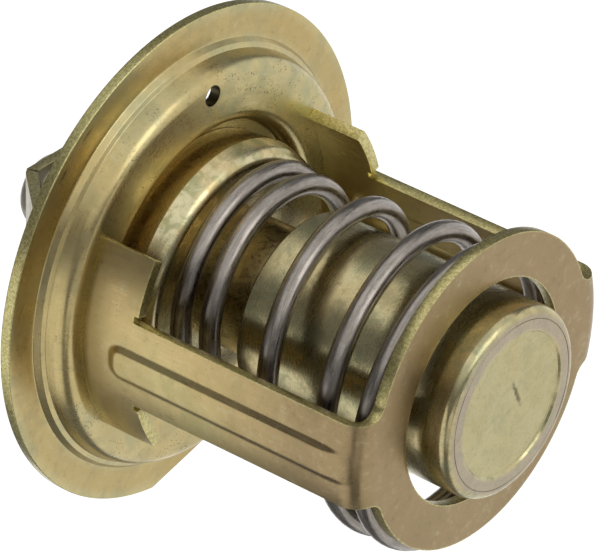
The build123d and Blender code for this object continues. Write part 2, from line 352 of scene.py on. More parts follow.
class Grid:
    """A sheet made of patches of quads, which are joined where they meet."""

    def __init__(self) -> None:
        """Start empty."""
        self.verts: list[Point3] = []
        self.faces: list[tuple[int, ...]] = []

    def patch(self, rows: int, columns: int, place: Callable[[int, int], Vector]) -> None:
        """Add a patch of quads.

        Args:
            rows: steps along the patch.
            columns: steps across it.
            place: gives the point at (row, column), in millimetres.
        """
        first = len(self.verts)
        for row in range(rows + 1):
            self.verts += [tuple(place(row, column)) for column in range(columns + 1)]
        for row in range(rows):
            for column in range(columns):
                corner = first + row * (columns + 1) + column
                below = corner + columns + 1
                self.faces.append((corner, below, below + 1, corner + 1))

    def build(self, name: str, outwards: Callable[[Vector], Vector]) -> Object:
        """Join the patches, point their faces outwards and store distances from the sheet's edge.

        Args:
            name: the piece's name.
            outwards: gives a direction on the outer side at a face's middle, in metres.

        Returns:
            The open sheet, whose vertices carry their distance in millimetres as edge_mm.
        """
        obj = mesh_object(name, self.verts, self.faces)
        with edited(obj.data) as work:
            bmesh.ops.remove_doubles(work, verts=work.verts, dist=MERGE_PATCHES)
            work.normal_update()
            for face in work.faces:
                if face.normal.dot(outwards(face.calc_center_median())) < 0:
                    face.normal_flip()
            rim = [vert.co.copy() for vert in work.verts if vert.is_boundary]
        tree = KDTree(len(rim))
        for index, place in enumerate(rim):
            tree.insert(place, index)
        tree.balance()
        gaps = [tree.find(vert.co)[2] / MM for vert in obj.data.vertices]
        obj.data.attributes.new("edge_mm", "FLOAT", "POINT").data.foreach_set("value", gaps)
        return obj


# ---- materials
#
# Noise lies round 0.5, so the limits of a ramp are levels of noise unless a size is named.


@dataclass(frozen=True)
class Value:
    """What a node gives, with plain arithmetic where it is a number."""

    kit: Nodes
    socket: Socket

    def __add__(self, other: Value | float) -> Value:
        """Sum."""
        return self.kit.math("ADD", self, other)

    def __sub__(self, other: Value | float) -> Value:
        """Difference."""
        return self.kit.math("SUBTRACT", self, other)

    def __mul__(self, other: Value | float) -> Value:
        """Product."""
        return self.kit.math("MULTIPLY", self, other)

    def __truediv__(self, other: Value | float) -> Value:
        """Quotient."""
        return self.kit.math("DIVIDE", self, other)


def feed(target: Socket, value: object) -> None:
    """Link a socket to another or a Value, or set it to a number, a vector or a colour.

    Args:
        target: the socket.
        value: what it gets.
    """
    value = value.socket if isinstance(value, Value) else value
    if isinstance(value, Socket):
        target.id_data.links.new(value, target)
    else:
        target.default_value = (*value, 1.0) if target.type == "RGBA" else value


def add_node(tree: bpy.types.NodeTree, kind: str, inputs: Inputs, **settings: object) -> bpy.types.Node:
    """Add a node to a tree.

    Args:
        tree: the tree.
        kind: the node's type.
        inputs: what each input gets, by its name or number.
        settings: the node's own properties.

    Returns:
        The node.
    """
    node = tree.nodes.new(kind)
    for name, setting in settings.items():
        setattr(node, name, setting)
    for name, value in inputs.items():
        feed(node.inputs[name], value)
    return node


class Nodes:
    """The node tree of a material or a world, with short calls for the nodes that it uses."""

    def __init__(self, owner: Material | bpy.types.World, shader: str = "Principled BSDF") -> None:
        """Start the tree of a material or a world from its shader."""
        owner.use_nodes = True
        self.owner = owner
        self.tree = owner.node_tree
        self.shader = self.tree.nodes[shader]

    def add(self, kind: str, inputs: Inputs, out: str | int = 0, **settings: object) -> Value:
        """Add a node and give one of its outputs."""
        return Value(self, add_node(self.tree, kind, inputs, **settings).outputs[out])

    def set(self, **values: Value | float | Colour) -> None:
        """Set or link the shader's sockets, named with underscores for spaces."""
        for name, value in values.items():
            feed(self.shader.inputs[name.replace("_", " ")], value)

    def math(self, operation: str, *values: Value | float) -> Value:
        """Work out a number with one operation of the Math node."""
        return self.add("ShaderNodeMath", dict(enumerate(values)), operation=operation)

    @cached_property
    def place(self) -> Value:
        """Each point's place on its own piece, in metres."""
        return self.add("ShaderNodeTexCoord", {}, out="Object")

    def place_mm(self) -> list[Value]:
        """The three parts of each point's place, in millimetres."""
        split = self.add("ShaderNodeSeparateXYZ", {"Vector": self.place}).socket.node
        return [Value(self, part) * (1 / MM) for part in split.outputs]

    def length(self, x: Value, y: Value) -> Value:
        """Length of a flat vector."""
        return self.math("SQRT", x * x + y * y)

    def from_axis(self) -> tuple[Value, Value]:
        """Radius from the Z axis and height along it, both in millimetres."""
        x, y, z = self.place_mm()
        return self.length(x, y), z

    def around_axis(self, across: float, along: float) -> Value:
        """Coordinates for lines that run round the Z axis.

        Args:
            across: steps of noise in each millimetre of radius and height.
            along: steps of noise in each turn's radius.

        Returns:
            The vector.
        """
        x, y, height = self.place_mm()
        radius = self.length(x, y)
        off_axis = self.math("MAXIMUM", radius, 0.01)
        height_share = 0.83
        spread = (radius + height * height_share) * across
        return self.joined(x / off_axis * along, y / off_axis * along, spread)

    def joined(self, *parts: Value | float) -> Value:
        """A vector from its three parts."""
        return self.add("ShaderNodeCombineXYZ", dict(enumerate(parts)))

    def stretched(self, scale: Point3) -> Value:
        """The piece's place, scaled differently along each axis."""
        return self.add("ShaderNodeMapping", {"Vector": self.place, "Scale": scale})

    def attribute(self, name: str) -> Value:
        """A number that the piece carries."""
        return self.add("ShaderNodeAttribute", {}, out="Fac", attribute_name=name)

    def seen(self) -> Value:
        """1 for camera, glossy and transmission rays, and 0 for others."""
        names = ("Is Camera Ray", "Is Glossy Ray", "Is Transmission Ray")
        camera, glossy, through = (self.add("ShaderNodeLightPath", {}, out=name) for name in names)
        return self.math("MAXIMUM", self.math("MAXIMUM", camera, glossy), through)

    def noise(self, scale: float, detail: float = 3.0, rough: float = 0.55,
              vector: Value | None = None, distortion: float = 0.0) -> Value:
        """Noise on the piece.

        Args:
            scale: features in each metre, or in each step of the vector.
            detail: octaves.
            rough: share of the fine octaves.
            vector: where to read it, the piece's own place if left out.
            distortion: how far it swirls.

        Returns:
            The noise, from 0 to 1.
        """
        inputs = {"Scale": scale, "Detail": detail, "Roughness": rough, "Distortion": distortion}
        return self.add("ShaderNodeTexNoise", {**inputs, "Vector": vector or self.place})

    def ramp(self, value: Value, low: float, high: float, start: float = 0.0, end: float = 1.0) -> Value:
        """Map a number smoothly from one range to another.

        Args:
            value: the number.
            low: where the result is start.
            high: where the result is end.
            start: result at low and beyond it.
            end: result at high and beyond it.

        Returns:
            The result.
        """
        inputs = {"Value": value, "From Min": low, "From Max": high, "To Min": start, "To Max": end}
        return self.add("ShaderNodeMapRange", inputs, interpolation_type="SMOOTHSTEP")

    def mix(self, share: Value | float, one: Value | Colour, two: Value | Colour) -> Value:
        """Mix two colours, with a share of the second."""
        return self.add("ShaderNodeMix", {0: share, 6: one, 7: two}, out=2, data_type="RGBA")

    def bump(self, height: Value, depth_mm: float) -> None:
        """Raise the surface by a height, where 1 is a depth in millimetres."""
        self.set(Normal=self.add("ShaderNodeBump", {"Distance": depth_mm * MM, "Height": height}))


@dataclass(frozen=True)
class Zone:
    """A band of a piece with another colour, between two radii or two heights; some zones hold a tint or
    dirt of the piece, others painted shade.
    """

    low: float
    high: float
    blend: float
    colour: Colour
    share: float = 1.0
    by_height: bool = False
    above: float = -100.0

    def mask(self, kit: Nodes) -> Value:
        """Share of the zone at each place, with soft limits."""
        radius, height = kit.from_axis()
        value = height if self.by_height else radius
        begun = kit.ramp(value, self.low - self.blend, self.low + self.blend)
        ended = kit.ramp(value, self.high - self.blend, self.high + self.blend, 1.0, 0.0)
        return begun * ended * kit.math("GREATER_THAN", height, self.above) * self.share


@dataclass(frozen=True)
class Scuff:
    """A rubbed dark mark: its middle, half length, half width and turn in degrees."""

    x: float
    y: float
    half_length: float
    half_width: float
    turn: float
    colour: Colour = (0.05, 0.035, 0.015)
    ragged: float = 2.2

    def mask(self, kit: Nodes) -> Value:
        """Share of the mark, ragged at its limits, on faces over the rim."""
        x, y, z = kit.place_mm()
        x, y = x - self.x, y - self.y
        cos, sin = math.cos(math.radians(self.turn)), math.sin(math.radians(self.turn))
        along = (x * cos + y * sin) * (1 / self.half_length)
        across = (y * cos - x * sin) * (1 / self.half_width)
        torn = kit.noise(2600.0, detail=4.0, rough=0.75) * self.ragged
        mark = kit.ramp(along * along + across * across + torn, 0.9, 2.0, 0.8, 0.0)
        return mark * kit.math("GREATER_THAN", z, 0.0)


@dataclass(frozen=True)
class ShadedHole:
    """Painted shade on the wall of a punched hole, given by its middle and radius."""

    x: float
    y: float
    radius: float
    colour: Colour = (0.03, 0.024, 0.014)
    blend: float = 0.06

    def mask(self, kit: Nodes) -> Value:
        """Share of the painted shade at each place."""
        x, y, _ = kit.place_mm()
        apart = kit.length(x - self.x, y - self.y)
        return kit.ramp(apart, self.radius - self.blend, self.radius + self.blend, 0.9, 0.0)


@dataclass(frozen=True)
class PlatedSteel:
    """Steel with a yellow-passivated zinc plate, mottled and lightly marked; some of its zones and marks
    are painted shade.
    """

    name: str
    base: Colour
    olive: Colour
    warm: Colour
    mottle_mm: float = 3.0
    warm_share: float = 0.35
    roughness: float = 0.34
    turned: bool = False
    zones: tuple[Zone, ...] = ()
    marks_and_shade: tuple[Scuff | ShadedHole, ...] = ()
    dirt_zone: Zone | None = None
    stray_dirt: float = 0.25
    sheared: bool = False
    sheared_radius: float = 0.0
    bloom: Colour = (0.62, 0.56, 0.36)
    dulled: Colour = (0.10, 0.085, 0.04)
    dirt: Colour = (0.045, 0.03, 0.012)
    torn_dark: Colour = (0.38, 0.34, 0.13)
    torn_bright: Colour = (0.66, 0.60, 0.28)
    relief_mm: float = 0.007

    def plate_colour(self, kit: Nodes, patch: Value, fine: Value) -> Value:
        """Colour of the plate and its zones, before dirt and marks.

        Args:
            kit: the finish's nodes.
            patch: noise of the mottling.
            fine: finer noise.

        Returns:
            The colour.
        """
        broad = kit.noise(0.3 / (self.mottle_mm * MM), detail=2.0)
        colour = kit.mix(kit.ramp(patch, 0.4, 0.64), self.base, self.olive)
        colour = kit.mix(kit.ramp(broad, 0.4, 0.6) * self.warm_share, colour, self.warm)
        for zone in self.zones:
            colour = kit.mix(zone.mask(kit), colour, zone.colour)
        pale = kit.mix(0.5, colour, self.bloom)
        colour = kit.mix(kit.ramp(fine, 0.52, 0.74, 0.0, 0.6), colour, pale)
        dull = kit.mix(0.62, colour, self.dulled)
        return kit.mix(kit.ramp(fine, 0.46, 0.28, 0.0, 0.4), colour, dull)

    def dirt_mask(self, kit: Nodes) -> Value:
        """Share of dirt, in spots that stand in clusters."""
        spots = kit.ramp(kit.noise(5200.0, detail=3.0, rough=0.65), 0.57, 0.66)
        clusters = kit.noise(1.0, detail=3.0, rough=0.6, vector=kit.around_axis(0.9, 7.0))
        share = self.dirt_zone.mask(kit) if self.dirt_zone else self.stray_dirt
        return spots * kit.ramp(clusters, 0.47, 0.6) * share

    def edge_mask(self, kit: Nodes) -> Value | None:
        """Share of sheared, broken metal, at a marked edge or beyond a radius.

        Args:
            kit: the finish's nodes.

        Returns:
            The share, or nothing where no sheared edge shows.
        """
        if self.sheared:
            reach = kit.attribute("edge_mm") + kit.noise(2200.0, detail=3.0, rough=0.7) * 0.3
            return kit.ramp(reach, 0.14, 0.34, 1.0, 0.0)
        if self.sheared_radius:
            return kit.ramp(kit.from_axis()[0], self.sheared_radius - 0.16, self.sheared_radius - 0.04)
        return None

    def material(self) -> Material:
        """Build the material."""
        kit = Nodes(bpy.data.materials.new(self.name))
        size = 1 / (self.mottle_mm * MM)
        patch = kit.noise(size, detail=5.0, rough=0.62, distortion=0.5)
        fine = kit.noise(size * 5, detail=5.0, rough=0.72)
        lines = kit.around_axis(7.0, 5.0) if self.turned else kit.stretched((3400.0, 3400.0, 240.0))
        scratch = kit.noise(1.0, detail=4.0, rough=0.7, vector=lines)
        dirt = self.dirt_mask(kit)
        colour = kit.mix(dirt, self.plate_colour(kit, patch, fine), self.dirt)
        # Scuffs here are wear; the vent hole's dark wall is painted shade.
        for mark in self.marks_and_shade:
            colour = kit.mix(mark.mask(kit), colour, mark.colour)
        rough = kit.ramp(patch, 0.3, 0.7, self.roughness - 0.04, self.roughness + 0.07)
        height = fine * 0.45 + scratch * 0.55 - dirt * 0.6
        edge = self.edge_mask(kit)
        if edge:
            torn = kit.noise(3600.0, detail=4.0, rough=0.75)
            metal = kit.mix(kit.ramp(torn, 0.42, 0.58), self.torn_dark, self.torn_bright)
            colour = kit.mix(edge * 0.8, colour, metal)
            height = height + torn * edge * 2.0
        kit.set(Base_Color=colour, Roughness=rough + kit.ramp(scratch, 0.3, 0.7, -0.03, 0.05), Metallic=1.0)
        kit.bump(height, self.relief_mm)
        return kit.owner


@dataclass(frozen=True)
class DrawnWire:
    """Bare spring steel with fine die lines along the wire."""

    name: str
    base: Colour
    dark: Colour
    pit: Colour = (0.03, 0.025, 0.02)
    streaks_along: float = 150.0
    streaks_round: float = 4.0
    relief_mm: float = 0.004

    def material(self) -> Material:
        """Build the material."""
        kit = Nodes(bpy.data.materials.new(self.name))
        turn = kit.attribute("wire_turn") * (2 * math.pi)
        lines = kit.joined(
            kit.attribute("wire_run") * self.streaks_along,
            kit.math("COSINE", turn) * self.streaks_round,
            kit.math("SINE", turn) * self.streaks_round,
        )
        streak = kit.noise(1.0, detail=5.0, rough=0.72, vector=lines)
        patch = kit.noise(520.0, detail=5.0, rough=0.62)
        pits = kit.ramp(kit.noise(3800.0, detail=3.0, rough=0.7), 0.6, 0.7)
        colour = kit.mix(kit.ramp(streak, 0.36, 0.64), self.dark, self.base)
        colour = kit.mix(kit.ramp(patch, 0.48, 0.7, 0.0, 0.55), colour, self.dark)
        colour = kit.mix(pits * 0.35, colour, self.pit)
        rough = kit.ramp(streak, 0.3, 0.7, 0.24, 0.36) + kit.ramp(patch, 0.4, 0.7, -0.02, 0.06)
        kit.set(Base_Color=colour, Roughness=rough, Metallic=1.0)
        kit.bump(streak - pits * 0.5, self.relief_mm)
        return kit.owner


@dataclass(frozen=True)
class PlainFinish:
    """A finish for the inner pieces: a colour, a gloss and a fine grain."""

    name: str
    base: Colour
    roughness: float
    metallic: float = 0.0
    grain_mm: float = 0.5
    shade: float = 0.72
    relief_mm: float = 0.004

    def material(self) -> Material:
        """Build the material."""
        kit = Nodes(bpy.data.materials.new(self.name))
        grain = kit.noise(1 / (self.grain_mm * MM), detail=4.0, rough=0.6)
        shaded = tuple(c * self.shade for c in self.base)
        kit.set(
            Base_Color=kit.mix(kit.ramp(grain, 0.35, 0.65), shaded, self.base),
            Roughness=kit.ramp(grain, 0.3, 0.7, self.roughness - 0.05, self.roughness + 0.06),
            Metallic=self.metallic,
        )
        kit.bump(grain, self.relief_mm)
        return kit.owner


# ---- finishes

FLANGE_FINISH = PlatedSteel(
    "yellow_plate_flange", (0.54, 0.46, 0.23), (0.43, 0.40, 0.22), (0.52, 0.37, 0.14), 4.0, 0.4, 0.28, True,
    zones=(Zone(23.6, 26.3, 0.7, (0.44, 0.31, 0.11), 0.55),),
    marks_and_shade=(
        Scuff(18.9, -18.0, 1.0, 0.3, 46.0),
        Scuff(15.3, -21.1, 1.1, 0.25, 36.0),
        # painted shade inside the vent hole
        ShadedHole(0.0, -19.9, 1.16),
    ),
    dirt_zone=Zone(16.0, 22.5, 1.0, PlatedSteel.dirt),
    sheared_radius=27.0,
)
# Paler, greyer plate than the other pieces: a painted reflection of the white surroundings on the bridge's
# outer faces.
BRIDGE_FINISH = PlatedSteel(
    "yellow_plate_bridge_painted_sheen", (0.62, 0.58, 0.46), (0.54, 0.50, 0.38), (0.54, 0.44, 0.28), sheared=True
)
CAGE_FINISH = PlatedSteel(
    "yellow_plate_cage", (0.57, 0.47, 0.22), (0.50, 0.43, 0.20), (0.50, 0.35, 0.16), 6.0, 0.5, 0.30,
    # Darker, pinker towards the ring: partly the ring's tan tint, partly painted shade.
    zones=(Zone(25.0, 60.0, 9.0, (0.29, 0.205, 0.11), 0.85, by_height=True),),
    sheared=True,
)
VALVE_FINISH = PlatedSteel(
    "yellow_plate_valve", (0.64, 0.58, 0.36), (0.40, 0.39, 0.21), (0.60, 0.42, 0.18), 1.4, 0.45, 0.26, True,
    # Browner band under the flange's lip: painted shade of the lip on the plate.
    zones=(Zone(-5.0, 5.4, 0.1, (0.50, 0.36, 0.14), 0.7, by_height=True),),
)
CAPSULE_FINISH = PlatedSteel(
    "yellow_plate_capsule", (0.54, 0.48, 0.27), (0.36, 0.35, 0.20), (0.50, 0.35, 0.15), 2.0,
    roughness=0.24,
    turned=True,
    zones=(
        Zone(-1.0, 7.7, 0.1, (0.46, 0.41, 0.21), 0.65, above=42.0),
        Zone(8.0, 9.6, 0.25, (0.38, 0.32, 0.25), 0.75, above=42.0),
    ),
    marks_and_shade=(Scuff(-1.0, -0.7, 2.6, 0.4, 114.0),),
)
WIRE_FINISH = DrawnWire("drawn_wire", (0.38, 0.345, 0.305), (0.23, 0.205, 0.18))
RUBBER_FINISH = PlainFinish("black_rubber", (0.02, 0.02, 0.02), 0.6)
INNER_FINISHES = {
    "guide_body": PlainFinish("turned_brass", (0.55, 0.42, 0.18), 0.3, 1.0),
    "piston": PlainFinish("ground_steel", (0.62, 0.62, 0.60), 0.18, 1.0),
    "piston_seal": RUBBER_FINISH,
    "anti_extrusion_disc": PlainFinish("white_plastic", (0.78, 0.78, 0.74), 0.45),
    "rubber_plug": RUBBER_FINISH,
    "diaphragm": RUBBER_FINISH,
    "wax_charge": PlainFinish("wax_with_powder", (0.45, 0.33, 0.2), 0.55),
}


# ---- fixed pieces


class Piece:
    """A detailed piece that stands for one node of the construction."""

    node: str
    slot: str
    finish: PlatedSteel | DrawnWire
    body: Body = Body.FIXED

    def build(self) -> Object:
        """Make the piece's mesh."""
        raise NotImplementedError

    def dress(self) -> Object:
        """Build the piece, give it its finish and let it stand for its node.

        Returns:
            The piece.
        """
        obj = self.build()
        if not obj.data.materials:
            obj.data.materials.append(self.finish.material())
        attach(obj, self.body.value)
        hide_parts(self.node)
        LOG.info("%s: %d faces, on %s", obj.name, len(obj.data.polygons), self.body.value)
        return obj


@dataclass
class FlangePlate(Piece):
    """Stamped flange: flat rim, step, bead, throat and seat shelf, with its flat and vent."""

    node, slot, finish = "flange_plate", "plated_flange", FLANGE_FINISH
    sheet: float = 1.2
    rim_r: float = 27.0
    step_r: float = 23.5
    step_bend_r: float = 0.25
    step_run: float = 0.45
    step_h: float = 0.65
    ledge_bend_r: float = 0.2
    ledge_run: float = 0.5
    ledge_rise: float = 0.2
    rise_bend_r: float = 0.12
    bead_h: float = 3.2
    bead_run: float = 0.65
    bead_r: float = 1.6
    throat_r: float = 15.3
    throat_bend_r: float = 1.5
    seat_drop: float = 2.2
    seat_bend_r: float = 0.3
    seat_bore_r: float = 12.8
    flat_distance: float = 24.8
    flat_angle: float = 102.6
    vent_r: float = 1.1
    vent_at_r: float = 19.9
    edge: float = 0.14

    @property
    def crest(self) -> float:
        """Height of the bead's flat crest."""
        return self.sheet / 2 + self.bead_h

    def outline(self) -> list[Point2]:
        """The sheet's closed section, as (radius, height)."""
        front = self.sheet / 2
        step_top = front + self.step_h
        ledge = self.step_r - self.step_run
        bead = ledge - self.ledge_run
        corners = [
            (self.rim_r, front, 0.0),
            (self.step_r, front, self.step_bend_r),
            (ledge, step_top, self.ledge_bend_r),
            (bead, step_top + self.ledge_rise, self.rise_bend_r),
            (bead - self.bead_run, self.crest, self.bead_r),
            (self.throat_r, self.crest, self.throat_bend_r),
            (self.throat_r, self.crest - self.seat_drop, self.seat_bend_r),
            (self.seat_bore_r, self.crest - self.seat_drop, 0.0),
        ]
        return sheet_outline(corners, self.sheet, self.edge)

    def build(self) -> Object:
        """Turn the plate, and cut its flat and its vent."""
        plate = lathe("flange", self.outline(), segments=360)
        deep = 4 * self.crest
        beyond = box_tool("flat_tool", (self.rim_r, 2 * self.rim_r, deep))
        turn = Matrix.Rotation(math.radians(self.flat_angle), 4, "Z")
        away = Matrix.Translation(Vector((self.flat_distance + self.rim_r / 2, 0, 0)) * MM)
        beyond.data.transform(turn @ away)
        plate = cut(plate, beyond)
        punch = lathe("vent_tool", [(0, -deep), (self.vent_r, -deep), (self.vent_r, deep), (0, deep)], 48)
        punch.data.transform(Matrix.Translation(Vector((0, -self.vent_at_r, 0)) * MM))
        return cut(plate, punch)


@dataclass
class SpringCage(Piece):
    """Drawn cup with two windows: curved feet, ribbed legs and the ring."""

    node, slot, finish = "spring_cage", "plated_cage", CAGE_FINISH
    crest: float
    top: float
    sheet: float = 1.2
    wall_r: float = 19.7
    bend_r: float = 2.4
    ring_r: float = 16.9
    bore_r: float = 12.1
    leg_w: float = 9.7
    root_r: float = 2.0
    foot_h: float = 6.6
    foot_span: float = 68.0
    relief: float = 0.5
    notch_w: float = 0.75
    rib_w: float = 3.6
    rib_h: float = 0.45
    rib_start: float = 3.8
    rib_end: float = 0.5
    rib_corner_r: float = 1.3
    rib_slope: float = 0.55
    rib_toe: float = 0.25
    edge: float = 0.13
    step: float = 0.3
    leg_columns: int = 56
    notch_columns: int = 3
    ear_columns: int = 22
    ring_rows: int = 14
    fillet_columns: int = 10
    side_columns: int = 90

    def __post_init__(self) -> None:
        """Work out the runs of the bend, and where the root fillets leave the leg and the ring."""
        self.bend_start = self.wall_r - self.bend_r
        self.wall_start = self.bend_start + self.bend_r * math.pi / 2
        self.fillet_out = self.ring_r + self.root_r
        side = self.leg_w / 2 + self.root_r
        self.fillet_angle = math.asin(side / self.fillet_out)
        leave_x = math.sqrt(self.fillet_out**2 - side**2)
        self.leave_r = math.hypot(leave_x, self.leg_w / 2)
        self.leave_angle = math.atan2(self.leg_w / 2, leave_x)

    def run_at(self, radius: float) -> float:
        """Distance from the axis along the sheet at a radius on the ring or the bend."""
        if radius <= self.bend_start:
            return radius
        return self.bend_start + self.bend_r * math.asin((radius - self.bend_start) / self.bend_r)

    def section(self, run: float) -> tuple[float, float, float, float]:
        """Follow the section of the outer face.

        Args:
            run: distance from the axis along the sheet.

        Returns:
            Radius, height and the two parts of the outward normal.
        """
        if run <= self.bend_start:
            return run, self.top, 0.0, 1.0
        if run > self.wall_start:
            return self.wall_r, self.top - self.bend_r - (run - self.wall_start), 1.0, 0.0
        bend = (run - self.bend_start) / self.bend_r
        out, up = math.sin(bend), math.cos(bend)
        return self.bend_start + self.bend_r * out, self.top - self.bend_r * (1 - up), out, up

    def rib_lift(self, across: float, height: float) -> float:
        """How far the rib raises the leg at a place on it.

        Args:
            across: distance from the leg's middle.
            height: height of the place.

        Returns:
            The rise.
        """
        low, high = self.crest + self.rib_start, self.top - self.rib_end
        out_x = abs(across) - (self.rib_w / 2 - self.rib_corner_r)
        out_z = abs(height - (low + high) / 2) - ((high - low) / 2 - self.rib_corner_r)
        beyond = math.hypot(max(out_x, 0.0), max(out_z, 0.0)) - self.rib_corner_r
        side = 1 - smooth_share(beyond, -self.rib_slope, self.rib_toe)
        return self.rib_h * side * (1 - smooth_share(height, self.top - 2 * self.bend_r, high))

    def place(self, run: float, angle: float, side: int, ribbed: bool = False) -> Vector:
        """Point on the outer face.

        Args:
            run: distance from the axis along the sheet.
            angle: direction from the leg's middle, in radians.
            side: 1 for the +X leg and -1 for the other.
            ribbed: whether the rib may raise it.

        Returns:
            The point, in millimetres.
        """
        radius, height, out, up = self.section(run)
        if ribbed:
            lift = self.rib_lift(radius * math.sin(angle), height)
            radius += lift * out
            height += lift * up
        return Vector((side * radius * math.cos(angle), side * radius * math.sin(angle), height))

    def leg_edge(self, run: float) -> float:
        """Half the angle that the leg covers at a run."""
        radius = self.section(run)[0]
        if radius <= self.leave_r and run < self.bend_start + self.bend_r:
            return self.leave_angle
        return math.asin(self.leg_w / 2 / radius)

    def ring_edge(self, angle: float) -> float:
        """Outer radius of the ring and its root fillet.

        Args:
            angle: direction from the leg's middle, in radians.

        Returns:
            The radius.
        """
        if angle >= self.fillet_angle:
            return self.ring_r
        off = angle - self.fillet_angle
        chord = max(self.root_r**2 - (self.fillet_out * math.sin(off)) ** 2, 0.0)
        return self.fillet_out * math.cos(off) - math.sqrt(chord)

    def rows(self, start: float, stop: float) -> list[float]:
        """Runs after start, up to stop, in steps of about the mesh's step."""
        return even_range(start, stop, max(1, round((stop - start) / self.step)))

    def add_leg(self, grid: Grid, side: int) -> None:
        """Add a leg with its share of the ring, and its foot's two ears.

        Args:
            grid: the sheet.
            side: 1 for the +X leg and -1 for the other.
        """
        leave = self.run_at(self.leave_r)
        end = self.wall_start + self.top - self.bend_r - self.crest
        foot = end - self.foot_h
        notch_end = foot + self.relief
        notch_rows, ear_rows = self.rows(foot, notch_end), self.rows(notch_end, end)
        runs = [self.bore_r, *even_range(self.bore_r, leave, self.ring_rows)]
        runs += self.rows(leave, foot) + notch_rows + ear_rows

        def leg(row: int, column: int) -> Vector:
            """Point of the leg."""
            share = 2 * column / self.leg_columns - 1
            return self.place(runs[row], share * self.leg_edge(runs[row]), side, ribbed=True)

        grid.patch(len(runs) - 1, self.leg_columns, leg)
        inner = self.leg_edge(end)
        notch = inner + self.notch_w / self.wall_r
        outer = math.radians(self.foot_span / 2)
        for hand in (-1, 1):
            under_notch, beyond = (hand * inner, hand * notch), (hand * notch, hand * outer)
            self.add_band(grid, [notch_end, *ear_rows], under_notch, self.notch_columns, side)
            self.add_band(grid, [foot, *notch_rows, *ear_rows], beyond, self.ear_columns, side)

    def add_band(self, grid: Grid, runs: list[float], angles: Point2, columns: int, side: int) -> None:
        """Add a plain band of the wall.

        Args:
            grid: the sheet.
            runs: runs of its rows.
            angles: first and last angle.
            columns: steps across it.
            side: 1 for the +X leg and -1 for the other.
        """
        low, high = angles

        def band(row: int, column: int) -> Vector:
            """Point of the band."""
            return self.place(runs[row], low + (high - low) * column / columns, side)

        grid.patch(len(runs) - 1, columns, band)

    def add_ring_side(self, grid: Grid, side: int) -> None:
        """Add the ring between the two legs.

        Args:
            grid: the sheet.
            side: 1 for the +Y side and -1 for the other.
        """
        half = [self.leave_angle, *even_range(self.leave_angle, self.fillet_angle, self.fillet_columns)]
        middle = even_range(self.fillet_angle, math.pi - self.fillet_angle, self.side_columns)[:-1]
        angles = half + middle + [math.pi - angle for angle in half[::-1]]

        def ring(row: int, column: int) -> Vector:
            """Point of the ring."""
            angle = angles[column]
            edge = self.run_at(self.ring_edge(min(angle, math.pi - angle)))
            return self.place(self.bore_r + (edge - self.bore_r) * row / self.ring_rows, angle, side)

        grid.patch(self.ring_rows, len(angles) - 1, ring)

    def build(self) -> Object:
        """Make the outer face from patches and give it its thickness."""
        grid = Grid()
        for side in (1, -1):
            self.add_leg(grid, side)
            self.add_ring_side(grid, side)
        centre = Vector((0, 0, self.crest * MM))
        return thicken(grid.build("cage", lambda place: place - centre), self.sheet, self.edge)


@dataclass
class Bridge(Piece):
    """Strap with a flat crown, flared legs, feet under the bead and a cup for the piston's end."""

    node, slot, finish = "bridge", "plated_bridge", BRIDGE_FINISH
    crest_back: float
    sheet: float = 1.2
    width: float = 9.4
    depth: float = 19.9
    crown_half: float = 4.43
    crown_bend_r: float = 2.0
    half: float = 18.2
    knee_depth: float = 4.85
    knee_bend_r: float = 4.0
    foot_end: float = 19.9
    foot_bend_r: float = 0.5
    cup_r: float = 4.3
    cup_depth: float = 2.2
    cup_fillet: float = 2.6
    pocket_r: float = 2.55
    edge: float = 0.13
    columns: int = 48
    step: float = 0.25

    def cup_reach(self, radius: float) -> float:
        """How far the pressed cup lies beyond the crown.

        Args:
            radius: distance from the axis.

        Returns:
            The reach.
        """
        flat = self.cup_r - self.cup_fillet
        if radius <= flat:
            return self.cup_depth
        if radius >= self.cup_r:
            return 0.0
        round_off = math.sqrt(self.cup_fillet**2 - (radius - flat) ** 2)
        return max(self.cup_depth - self.cup_fillet + round_off, 0.0)

    def build(self) -> Object:
        """Make the strap's outer face with its cup, thicken it and clear the piston's pocket."""
        foot = self.crest_back - self.sheet
        crown = self.crest_back - self.depth
        half_path = [
            (self.crown_half, crown, self.crown_bend_r),
            (self.half, self.crest_back - self.knee_depth, self.knee_bend_r),
            (self.half, foot, self.foot_bend_r),
            (self.foot_end, foot, 0.0),
        ]
        other_half = [(-x, z, radius) for x, z, radius in reversed(half_path)]
        path = even_steps(rounded_path(other_half + half_path, closed=False), self.step)
        inside = Vector((0, 0, (foot + self.sheet / 2) * MM))

        def strap(row: int, column: int) -> Vector:
            """Point of the outer face."""
            x, z = path[row]
            y = self.width * (column / self.columns - 0.5)
            pressed = crown - self.cup_reach(math.hypot(x, y))
            return Vector((x, y, min(z, pressed) if abs(x) < self.cup_r else z))

        def outwards(place: Vector) -> Vector:
            """Direction out of the strap, which is down for its flat feet."""
            flat_foot = abs(place.x) > (self.half + self.foot_bend_r) * MM
            return Vector((0, 0, -1)) if flat_foot else place - inside

        grid = Grid()
        grid.patch(len(path) - 1, self.columns, strap)
        piece = thicken(grid.build("bridge_strap", outwards), self.sheet, self.edge)
        floor = crown - self.cup_depth + self.sheet
        pocket = [(0, floor), (self.pocket_r, floor), (self.pocket_r, foot), (0, foot)]
        return cut(piece, lathe("pocket_tool", pocket, 96))


